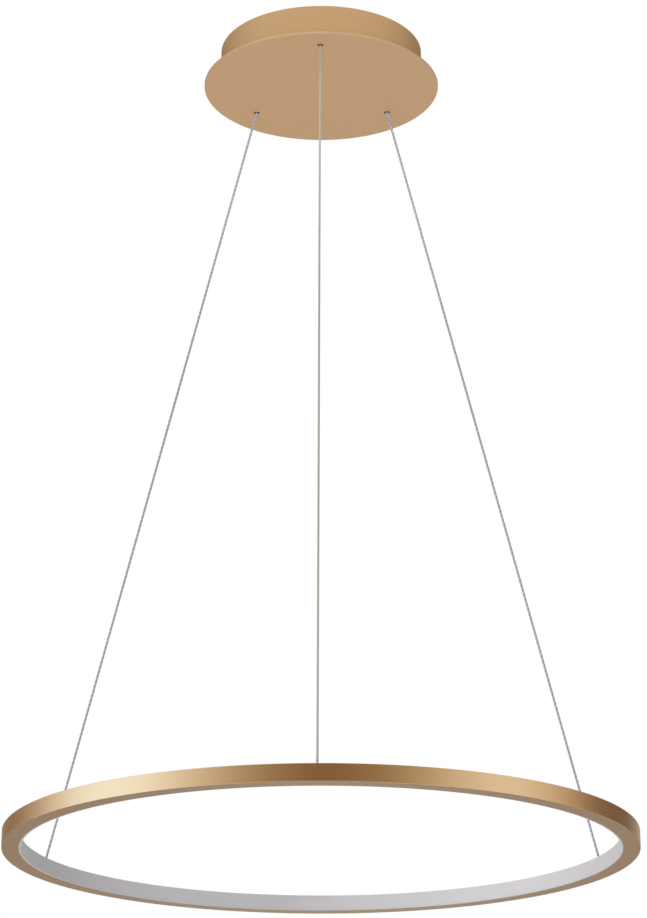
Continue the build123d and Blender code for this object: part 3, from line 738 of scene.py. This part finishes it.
def tube(name: str, line: list[Vector], radius: float, sides: int, lobes: int = 0, depth: float = 0.0,
         pitch: float = 1.0, tip: float = 0.0, tip_share: float = 1.0) -> Piece:
    """A closed tube round a line, with lobes that wind along it.

    Args:
        name: Name of the piece.
        line: Points of the centreline.
        radius: Greatest radius of the tube.
        sides: Points of each ring.
        lobes: Strands that show in the outline, or none.
        depth: Share of the radius that the gaps between the lobes sink.
        pitch: Length in which a strand winds once round the line.
        tip: Length over which the line's last end tapers.
        tip_share: Share of the radius that is left at that end.

    Returns:
        The tube.
    """
    vertices: list[Vector] = []
    gaps: list[float] = []
    faces: list[Face] = []
    travelled = 0.0
    whole = sum((after - before).length for before, after in zip(line, line[1:]))
    across = (line[1] - line[0]).orthogonal().normalized()
    for index, point in enumerate(line):
        ahead = line[min(index + 1, len(line) - 1)] - line[max(index - 1, 0)]
        along = ahead.normalized()
        across = (across - along * across.dot(along)).normalized()
        beside = along.cross(across)
        if index:
            travelled += (point - line[index - 1]).length
        taper = min((whole - travelled) / tip, 1.0) if tip else 1.0
        girth = radius * (tip_share + (1.0 - tip_share) * taper)
        for side in range(sides):
            angle = math.tau * side / sides
            wave = 0.5 - 0.5 * math.cos(lobes * (angle - math.tau * travelled / pitch))
            # the groove depth is kept per point for the colour, as painted shade
            gaps.append(wave)
            reach = girth * (1.0 - depth * wave)
            vertices.append(point + (across * math.cos(angle) + beside * math.sin(angle)) * reach)
    for ring in range(len(line) - 1):
        for side in range(sides):
            following = (side + 1) % sides
            low, high = ring * sides, (ring + 1) * sides
            faces.append((low + side, low + following, high + following, high + side))
    faces.append(tuple(reversed(range(sides))))
    faces.append(tuple(range(len(vertices) - sides, len(vertices))))
    piece = meshed(name, vertices, faces)
    mesh = piece.data
    mesh.polygons.foreach_set("use_smooth", [True] * (len(faces) - 2) + [False, False])
    # the groove depth is stored for the colour, where it darkens the grooves as painted shade
    mesh.attributes.new(GROOVE_PAINTED_SHADE, "FLOAT", "POINT").data.foreach_set("value", gaps)
    mesh.update()
    return piece


def rounded(section: list[Corner], corners: set[int], radius: float, steps: int = 4) -> list[Corner]:
    """A section with some of its square corners rounded.

    Args:
        section: Corners as radius and height.
        corners: Numbers of the corners that are rounded.
        radius: Radius of the rounding.
        steps: Straight pieces of each rounding.

    Returns:
        The section's points in the same order.
    """
    points: list[Corner] = []
    for number, corner in enumerate(section):
        here = Vector(corner)
        if number not in corners:
            points.append(corner)
            continue
        before = (Vector(section[number - 1]) - here).normalized()
        after = (Vector(section[(number + 1) % len(section)]) - here).normalized()
        centre = here + (before + after) * radius
        for step in range(steps + 1):
            turn = math.pi / 2 * step / steps
            point = centre - (after * math.cos(turn) + before * math.sin(turn)) * radius
            points.append((point.x, point.y))
    return points


def lathe(name: str, section: list[Corner], segments: int, closed: bool = True) -> Piece:
    """A section turned about the upright axis, with its faces turned outwards.

    Args:
        name: Name of the piece.
        section: Points as radius and height.
        segments: Straight pieces of each circle.
        closed: Whether the section closes on itself; an open one gets a flat cap at each end.

    Returns:
        The piece.
    """
    rows = len(section)
    vertices: list[Point] = []
    for segment in range(segments):
        turn = math.tau * segment / segments
        east, north = math.cos(turn), math.sin(turn)
        vertices += [(radius * east, radius * north, height) for radius, height in section]
    faces: list[Face] = []
    for segment in range(segments):
        here, there = segment * rows, (segment + 1) % segments * rows
        for row in range(rows if closed else rows - 1):
            following = (row + 1) % rows
            faces.append((here + row, there + row, there + following, here + following))
    if not closed:
        faces.append(tuple(segment * rows for segment in range(segments)))
        faces.append(tuple(segment * rows + rows - 1 for segment in range(segments)))
    piece = meshed(name, vertices, faces)
    shape = bmesh.new()
    shape.from_mesh(piece.data)
    bmesh.ops.recalc_face_normals(shape, faces=shape.faces)
    shape.to_mesh(piece.data)
    shape.free()
    return piece


def complete(piece: Piece, drills: list[Piece], studs: list[Piece]) -> None:
    """Add the studs, drill the holes and smooth the piece, leaving flat faces flat.

    Args:
        piece: The piece that is changed.
        drills: Upright rods that are cut out of it.
        studs: Upright rods that are added to it.
    """
    for rods, operation in ((studs, "UNION"), (drills, "DIFFERENCE")):
        for rod in rods:
            change = piece.modifiers.new("rod", "BOOLEAN")
            change.operation = operation
            change.solver = "EXACT"
            change.object = rod
    bake_modifiers(piece)
    for rod in drills + studs:
        bpy.data.objects.remove(rod)
    piece.data.polygons.foreach_set("use_smooth", [True] * len(piece.data.polygons))
    piece.data.set_sharp_from_angle(angle=SHARP_ANGLE)
    even = piece.modifiers.new("even", "WEIGHTED_NORMAL")
    even.keep_sharp = True
    bake_modifiers(piece)


def bake_modifiers(piece: Piece) -> None:
    """Make the modifiers part of the mesh.

    Args:
        piece: The piece that is changed.
    """
    bpy.context.view_layer.update()
    shown = piece.evaluated_get(bpy.context.evaluated_depsgraph_get())
    piece.data = bpy.data.meshes.new_from_object(shown)
    piece.modifiers.clear()


def post(name: str, middle: Corner, section: list[Corner], segments: int = 40) -> Piece:
    """An upright turned post.

    Args:
        name: Name of the post.
        middle: Where its axis stands.
        section: Points of its outline as radius and height.
        segments: Straight pieces of each circle.

    Returns:
        The post.
    """
    piece = lathe(name, section, segments, closed=False)
    piece.data.transform(Matrix.Translation((*middle, 0.0)))
    return piece


def drill(middle: Vector, radius: float, low: float, high: float, chamfer: float) -> Piece:
    """A cutter for a round hole through a wall, with a chamfer at both of its mouths.

    Args:
        middle: A point of the hole's axis.
        radius: Radius of the hole.
        low: Level of the wall's lower face.
        high: Level of the wall's upper face.
        chamfer: Width of the chamfer at each mouth.

    Returns:
        The cutter.
    """
    mouth = radius + 2 * chamfer
    section = [(mouth, high + chamfer), (radius, high - chamfer),
               (radius, low + chamfer), (mouth, low - chamfer)]
    return post("drill", (middle.x, middle.y), section)


@dataclass
class Hoop:
    """The ring: its brushed channel with the cable holes, and the opal band in its mouth."""

    outer: float
    low: float
    high: float
    holes: list[Vector]
    depth: float = 0.016
    wall: float = 0.0015
    edge: float = 0.0005
    hole_radius: float = 0.0022
    hole_chamfer: float = 0.0004
    band_gap: float = 0.0001
    band_edge_gap: float = 0.0003
    band_wall: float = 0.0014
    leg_length: float = 0.004
    leg_wall: float = 0.001
    lip_height: float = 0.0012
    lip_proud: float = 0.0005
    segments: int = 480

    def build(self) -> list[Piece]:
        """The channel and the band."""
        return [self._channel(), self._band()]

    def _channel(self) -> Piece:
        """Round channel, open inwards.

        Returns:
            The channel, riding the ring.
        """
        mouth, back = self.outer - self.depth, self.outer - self.wall
        section = [(mouth, self.high), (self.outer, self.high), (self.outer, self.low), (mouth, self.low),
                   (mouth, self.low + self.wall), (back, self.low + self.wall),
                   (back, self.high - self.wall), (mouth, self.high - self.wall)]
        outside = {1, 2}
        piece = lathe("ring_channel", rounded(section, outside, self.edge), self.segments)
        drills = [drill(hole, self.hole_radius, self.high - self.wall, self.high, self.hole_chamfer)
                  for hole in self.holes]
        complete(piece, drills, [])
        hang(piece, "ring", "ring_profile", "brushed_gold")
        return piece

    def _band(self) -> Piece:
        """Opal strip over the channel's mouth, with two legs inside it and a lip along its lower edge.

        Returns:
            The band, riding the ring.
        """
        mouth = self.outer - self.depth
        outer, reach = mouth - self.band_gap, mouth + self.leg_length
        inner, proud = outer - self.band_wall, outer - self.band_wall - self.lip_proud
        top, low = self.high - self.band_edge_gap, self.low + self.band_edge_gap
        lip = low + self.lip_height
        leg_top, leg_low = self.high - self.wall - self.band_gap, self.low + self.wall + self.band_gap
        under, over = leg_top - self.leg_wall, leg_low + self.leg_wall
        section = [(inner, top), (outer, top), (outer, leg_top), (reach, leg_top), (reach, under),
                   (outer, under), (outer, over), (reach, over), (reach, leg_low), (outer, leg_low),
                   (outer, low), (proud, low), (proud, lip), (inner, lip)]
        inside = {0, 11, 12}
        outline = rounded(section, inside, self.band_edge_gap)
        piece = lathe("opal_band", outline, self.segments)
        complete(piece, [], [])
        hang(piece, "ring", "diffuser", "opal")
        return piece


@dataclass
class CanopyDisc:
    """The canopy's lower plate, with its cable holes and the studs that hold it on the drum's tabs."""

    radius: float
    low: float
    high: float
    stud_top: float
    holes: list[Vector]
    edge: float = 0.0005
    hole_radius: float = 0.003
    hole_chamfer: float = 0.0003
    stud_radius: float = 0.0015
    stud_circle: float = 0.0963
    stud_angles: tuple[float, ...] = (90.0, 210.0, 330.0)
    segments: int = 320

    def build(self) -> Piece:
        """The plate with its holes and studs.

        Returns:
            The plate, riding the canopy.
        """
        half = self.radius / 2
        section = [(half, self.high), (self.radius, self.high), (self.radius, self.low), (half, self.low)]
        outline = rounded(section, {1, 2}, self.edge)
        piece = lathe("canopy_disc", outline, self.segments, closed=False)
        drills = [drill(hole, self.hole_radius, self.low, self.high, self.hole_chamfer)
                  for hole in self.holes]
        complete(piece, drills, [self._stud(math.radians(angle)) for angle in self.stud_angles])
        hang(piece, "canopy", "canopy_plate", "satin_gold")
        return piece

    def _stud(self, turn: float) -> Piece:
        """One upright stud with a chamfered tip.

        Args:
            turn: Where it stands on the studs' circle, in radians.

        Returns:
            The stud.
        """
        middle = (self.stud_circle * math.cos(turn), self.stud_circle * math.sin(turn))
        outline = [(self.stud_radius, self.high - self.edge), (self.stud_radius, self.stud_top - self.edge),
                   (self.stud_radius - self.edge, self.stud_top)]
        return post("stud", middle, outline)


@dataclass(frozen=True)
class CableKind:
    """One make of cable: its finish, its strands, and how far its rope stops from the ball in the ring."""

    slot: str
    diameter: float
    lobes: int
    lobe_depth: float
    lay_length: float
    end_gap: float


@dataclass
class CableRun:
    """The free stretch of one cable, from the pivot of its gripper to the ball in the ring.

    The neck inside the gripper's nose keeps its line.
    """

    station: Station
    kind: CableKind
    pivot: Vector
    anchor: Vector
    lift: float
    neck_length: float = 0.0053
    tip_length: float = 0.0060
    tip_share: float = 0.38
    ring_step: float = 0.0011
    sides: int = 18

    def build(self) -> list[Piece]:
        """The free stretch in its two lengths.

        Returns:
            The cable's neck and rope.
        """
        down = (self.anchor - self.pivot).normalized()
        start = self.pivot + down * self.neck_length
        end = self.anchor - down * self.kind.end_gap
        neck, _ = self._length_of_cable("neck", self.pivot, start)
        rope, line = self._length_of_cable("rope", start, end, self.tip_share)
        drop = start.z - end.z
        (drop - self.lift) / drop
        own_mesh(rope)
        (start - end).length
        return [neck, rope]

    def _length_of_cable(self, part: str, start: Vector, end: Vector,
                         tip_share: float = 1.0) -> tuple[Piece, list[Vector]]:
        """One straight length, riding the cable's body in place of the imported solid.

        Args:
            part: What the length is called.
            start: Its upper end.
            end: Its lower end.
            tip_share: Share of the radius at the lower end, where that is out of sight in the ring.

        Returns:
            The piece and the points of its centreline.
        """
        name = f"{self.station.value}_{part}"
        control = [start, start.lerp(end, 0.5), end]
        rings = max(int((end - start).length / self.ring_step / (len(control) - 1)), 2)
        line = spline_points(f"{name}_line", control, rings)
        kind = self.kind
        piece = tube(name, line, kind.diameter / 2, self.sides, kind.lobes, kind.lobe_depth,
                     kind.lay_length, self.tip_length, tip_share)
        node = f"{self.station.value}_cable"
        hang(piece, node, node, kind.slot)
        return piece, line


@dataclass
class GripperSpring:
    """The coil spring over one gripper's plunger."""

    station: Station
    pivot: Vector
    axis: Vector
    travel: float
    low: float = 0.0063
    high: float = 0.0127
    mean_radius: float = 0.0022
    wire_radius: float = 0.00025
    turns: float = 5.0
    steps_per_turn: int = 24
    sides: int = 8

    def build(self) -> Piece:
        """The spring's mesh.

        Returns:
            The spring, riding its barrel.
        """
        across = self.axis.orthogonal().normalized()
        beside = self.axis.cross(across)
        count = int(self.turns * self.steps_per_turn)
        span = self.high - self.low
        line = []
        for step in range(count + 1):
            turn = math.tau * self.turns * step / count
            height = self.low + span * step / count
            spoke = across * math.cos(turn) + beside * math.sin(turn)
            line.append(self.pivot + self.axis * height + spoke * self.mean_radius)
        side = self.station.value
        piece = tube(f"{side}_coil", line, self.wire_radius, self.sides)
        hang(piece, f"{side}_cable", f"{side}_gripper_spring", "spring_steel")
        tuple(self.pivot + self.axis * self.high)
        (span - self.travel) / span
        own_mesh(piece)
        return piece


@dataclass
class Pendant:
    """The whole light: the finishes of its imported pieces, and the finer meshes built here."""

    frame: dict
    front_kind: CableKind = CableKind("cream_cable", 0.0020, 6, 0.07, 0.011, 0.0023)
    rear_kind: CableKind = CableKind("clear_cable", 0.0024, 2, 0.07, 0.010, 0.0040)
    bush_skirt: float = 0.0015

    def joint(self, name: str) -> dict:
        """One joint of the record, by name."""
        return next(joint for joint in self.frame["joints"] if joint["name"] == name)

    def pivot(self, station: Station) -> Vector:
        """Centre of a gripper's ball nose."""
        prefix = "" if station is Station.FRONT else f"{station.value}_"
        return Vector(self.joint(f"{prefix}sway_front_back")["pos_m"])

    def anchor(self, station: Station) -> Vector:
        """Centre of the ball that holds a cable in the ring."""
        low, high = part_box(f"{station.value}_socket_bush")
        return Vector(((low[0] + high[0]) / 2, (low[1] + high[1]) / 2, low[2] + self.bush_skirt))

    def on_line(self, station: Station, level: float) -> Vector:
        """The point of a cable's line at a level."""
        pivot, anchor = self.pivot(station), self.anchor(station)
        return pivot.lerp(anchor, (pivot.z - level) / (pivot.z - anchor.z))

    def dress_nodes(self) -> None:
        """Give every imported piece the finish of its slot."""
        for row in self.frame["record"]["subparts"]:
            Palette.dress(self.frame["nodes"][row["node"]], row["material_slot"])

    def hoop(self) -> list[Piece]:
        """The ring, with a hole where each cable enters it.

        Returns:
            Its channel and its opal band.
        """
        low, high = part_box("ring_profile")
        hoop = Hoop(high[0], low[2], high[2], [])
        hoop.holes = [self.on_line(station, hoop.high - hoop.wall / 2) for station in Station]
        return hoop.build()

    def disc(self) -> Piece:
        """The canopy's lower plate, with a hole where each cable leaves it.

        Returns:
            The plate.
        """
        low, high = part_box("canopy_plate")
        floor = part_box("canopy_drum")[0][2]
        holes = [self.on_line(station, (low[2] + floor) / 2) for station in Station]
        return CanopyDisc(high[0], low[2], floor, high[2], holes).build()

    def cables(self) -> list[Piece]:
        """The three free cables.

        Returns:
            The neck and the rope of each.
        """
        lift = self.joint("height_adjust")["range_m"][1]
        pieces: list[Piece] = []
        for station in Station:
            kind = self.front_kind if station is Station.FRONT else self.rear_kind
            pieces += CableRun(station, kind, self.pivot(station), self.anchor(station), lift).build()
        return pieces

    def springs(self) -> list[Piece]:
        """The springs of the three grippers.

        Returns:
            One coil for each gripper.
        """
        pieces = []
        for station in Station:
            release = self.joint(f"{station.value}_release")
            axis = Vector(release["axis"]).normalized()
            pieces.append(GripperSpring(station, self.pivot(station), axis, release["range_m"][1]).build())
        return pieces

    def build(self) -> None:
        """Dress and complete the light."""
        self.dress_nodes()
        for piece in self.hoop() + [self.disc()] + self.cables() + self.springs():
            LOG.info("built %s with %d faces", piece.name, len(piece.data.polygons))


@dataclass(frozen=True)
class ReflectionWall:
    """A round studio wall that only reflections show: dark behind the camera, with soft boxes at the sides.

    The stops give the wall's light by azimuth in degrees, from the camera's side towards the right.
    """

    radius: float = 6.0
    low: float = -2.29
    high: float = 5.0
    panels: int = 96
    strength: float = 2.0
    hidden_from: tuple[str, ...] = ("camera", "diffuse", "transmission", "shadow", "volume_scatter")
    stops: tuple[tuple[float, Colour], ...] = (
        (-180.0, (0.44, 0.43, 0.42)), (-152.0, (0.13, 0.09, 0.06)), (-130.0, (0.13, 0.07, 0.025)),
        (-110.0, (0.35, 0.30, 0.27)), (-90.0, (0.64, 0.77, 0.95)), (-65.0, (0.66, 0.79, 1.00)),
        (-46.0, (0.48, 0.47, 0.46)), (-26.0, (0.25, 0.20, 0.14)), (0.0, (0.088, 0.040, 0.012)),
        (28.0, (0.21, 0.16, 0.105)), (47.0, (0.42, 0.40, 0.37)), (68.0, (0.56, 0.58, 0.61)),
        (90.0, (0.37, 0.32, 0.26)), (110.0, (0.10, 0.055, 0.03)), (138.0, (0.085, 0.06, 0.045)),
        (162.0, (0.38, 0.37, 0.36)), (180.0, (0.44, 0.43, 0.42)))

    def build(self) -> None:
        """Stand the wall round the light."""
        corners: list[Point] = []
        for panel in range(self.panels):
            turn = math.tau * panel / self.panels
            x, y = self.radius * math.sin(turn), -self.radius * math.cos(turn)
            corners += [(x, y, self.low), (x, y, self.high)]
        count = len(corners)
        faces = [(2 * panel, (2 * panel + 2) % count, (2 * panel + 3) % count, 2 * panel + 1)
                 for panel in range(self.panels)]
        wall = meshed("reflection_wall", corners, faces)
        for kind in self.hidden_from:
            setattr(wall, f"visible_{kind}", False)
        wall.data.materials.append(self._glow())

    def _glow(self) -> bpy.types.Material:
        """The wall's light, by azimuth.

        Returns:
            A material that only gives light.
        """
        material, sheet = Sheet.of_material("reflection_wall")
        x, y, _ = sheet.split(sheet.place())
        share = sheet.math("ARCTAN2", x, 0.0 - y) * (1.0 / math.tau) + 0.5
        stops = [(azimuth / 360.0 + 0.5, colour) for azimuth, colour in self.stops]
        sheet.surface({"Base Color": BLACK, "Roughness": 1.0, "Specular IOR Level": 0.0,
                       "Emission Color": sheet.ramp(share, stops), "Emission Strength": self.strength})
        material.cycles.emission_sampling = "NONE"
        return material


@dataclass(frozen=True)
class Lamp(ABC):
    """A lamp of the studio; the reflection wall stands for it in reflections."""

    kind = "POINT"
    name: str
    place: Point
    aim: Point
    power: float

    @abstractmethod
    def settings(self) -> dict[str, str | float]:
        """What a lamp of this kind needs besides its power."""

    def build(self) -> None:
        """Hang the lamp."""
        data = bpy.data.lights.new(self.name, self.kind)
        for name, value in self.settings().items():
            setattr(data, name, value)
        data.energy = self.power
        lamp = linked(self.name, data)
        lamp.location = self.place
        lamp.rotation_mode = "QUATERNION"
        lamp.rotation_quaternion = (Vector(self.aim) - Vector(self.place)).to_track_quat("-Z", "Y")
        lamp.visible_glossy = False


@dataclass(frozen=True)
class SoftBox(Lamp):
    """A large square lamp."""

    kind = "AREA"
    size: float

    def settings(self) -> dict[str, str | float]:
        """A square of the given size."""
        return {"shape": "SQUARE", "size": self.size}


@dataclass(frozen=True)
class Spot(Lamp):
    """A soft spot that lights one part of the pendant."""

    kind = "SPOT"
    cone: float
    radius: float = 0.2
    blend: float = 0.5

    def settings(self) -> dict[str, str | float]:
        """A cone with a soft edge."""
        cone = math.radians(self.cone)
        return {"spot_size": cone, "spot_blend": self.blend, "shadow_soft_size": self.radius}


@dataclass
class Studio:
    """Pale floor, soft lamps, reflection wall, white surround and the camera of the photograph."""

    floor_level: float = -2.3
    floor_size: float = 10.0
    floor_fade: tuple[float, float] = (1.0, 4.5)
    floor_colour: Colour = (0.90, 0.90, 0.90)
    floor_depth: float = 0.98
    floor_clouds_per_metre: float = 0.8
    floor_roughness: float = 0.8
    floor_sheen: float = 0.1
    surround_light: float = 0.40
    lamps: tuple[Lamp, ...] = (
        SoftBox("key_box", (-0.6, -3.4, -1.4), (0.0, 0.0, -0.5), 50.0, 2.4),
        SoftBox("fill_box", (2.8, -3.0, -0.7), (0.0, 0.0, -0.5), 14.0, 2.4),
        SoftBox("top_box", (0.0, 0.0, 8.0), (0.0, 0.0, -0.5), 680.0, 10.0),
        Spot("ring_spot", (-3.75, -0.6, -1.35), (0.0, 0.0, -0.86), 330.0, 18.0),
        Spot("canopy_spot", (-0.25, -3.8, -0.25), (0.0, 0.0, 0.05), 305.0, 12.0, 0.1, 0.9))
    image_side: int = 918
    sensor: float = 36.0
    focal_pixels: float = 2856.7
    eye: Point = (0.0283, -2.6626, -1.3986)
    pitch: float = 19.647
    yaw: float = 0.558

    def floor(self) -> None:
        """A pale floor under the light, which melts into the white surround and is clear from below."""
        half, level = self.floor_size / 2, self.floor_level
        corners = [(-half, -half, level), (half, -half, level), (half, half, level), (-half, half, level)]
        floor = meshed("floor", corners, [(0, 1, 2, 3)])
        material, sheet = Sheet.of_material("pale_floor")
        place = sheet.place()
        x, y, _ = sheet.split(place)
        near, far = self.floor_fade
        away = ((x * x + y * y) ** 0.5 - near) * (1.0 / (far - near))
        behind = sheet.node("ShaderNodeNewGeometry", None, None, "Backfacing")
        faded = sheet.math("MINIMUM", sheet.math("MAXIMUM", away, 0.0), 1.0)
        gone = sheet.math("MAXIMUM", faded, behind)
        cloud = sheet.noise(place, self.floor_clouds_per_metre)
        colour = sheet.blend(cloud, dimmed(self.floor_colour, self.floor_depth), self.floor_colour)
        pale = sheet.principled({"Base Color": colour, "Roughness": self.floor_roughness,
                                 "Specular IOR Level": self.floor_sheen})
        clear = sheet.node("ShaderNodeBsdfTransparent")
        mixed = sheet.node("ShaderNodeMixShader", None, {0: gone, 1: pale, 2: clear})
        sheet.end("ShaderNodeOutputMaterial", mixed)
        floor.data.materials.append(material)

    def surround(self) -> None:
        """White for the eye and in reflections, and a softer light on the object."""
        world = bpy.data.worlds.new("surround")
        bpy.context.scene.world = world
        world.use_nodes = True
        sheet = Sheet(world.node_tree)
        seen = sheet.node("ShaderNodeLightPath", None, None, "Is Camera Ray")
        outputs = seen.socket.node.outputs
        glossy = Value(sheet, outputs["Is Glossy Ray"])
        through = Value(sheet, outputs["Is Transmission Ray"])
        white, soft = (sheet.node("ShaderNodeBackground", None, {"Color": WHITE, "Strength": strength})
                       for strength in (1.0, self.surround_light))
        shown = sheet.math("MAXIMUM", sheet.math("MAXIMUM", seen, glossy), through)
        mixed = sheet.node("ShaderNodeMixShader", None, {0: shown, 1: soft, 2: white})
        sheet.end("ShaderNodeOutputWorld", mixed)

    def camera(self) -> None:
        """The camera below the ring, looking up at the canopy."""
        data = bpy.data.cameras.new("camera")
        data.sensor_width = self.sensor
        data.lens = self.focal_pixels * self.sensor / self.image_side
        camera = linked("camera", data)
        camera.location = self.eye
        up, turn = math.radians(self.pitch), math.radians(self.yaw)
        ahead = Vector((-math.sin(turn) * math.cos(up), math.cos(turn) * math.cos(up), math.sin(up)))
        camera.rotation_mode = "QUATERNION"
        camera.rotation_quaternion = ahead.to_track_quat("-Z", "Y")
        bpy.context.scene.camera = camera

    def build(self) -> None:
        """Set up the whole studio."""
        bpy.context.scene.view_settings.view_transform = "Standard"
        self.floor()
        self.surround()
        for lamp in self.lamps:
            lamp.build()
        ReflectionWall().build()
        self.camera()


def clear_scene() -> None:
    """Start from an empty scene."""
    for item in list(bpy.data.objects):
        bpy.data.objects.remove(item)


def main() -> None:
    """Build the light and its studio, logging the faces of each built piece."""
    logging.basicConfig(level=logging.INFO)
    clear_scene()
    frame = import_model()
    Pendant(frame).build()
    Studio().build()


if __name__ == "__main__":
    main()
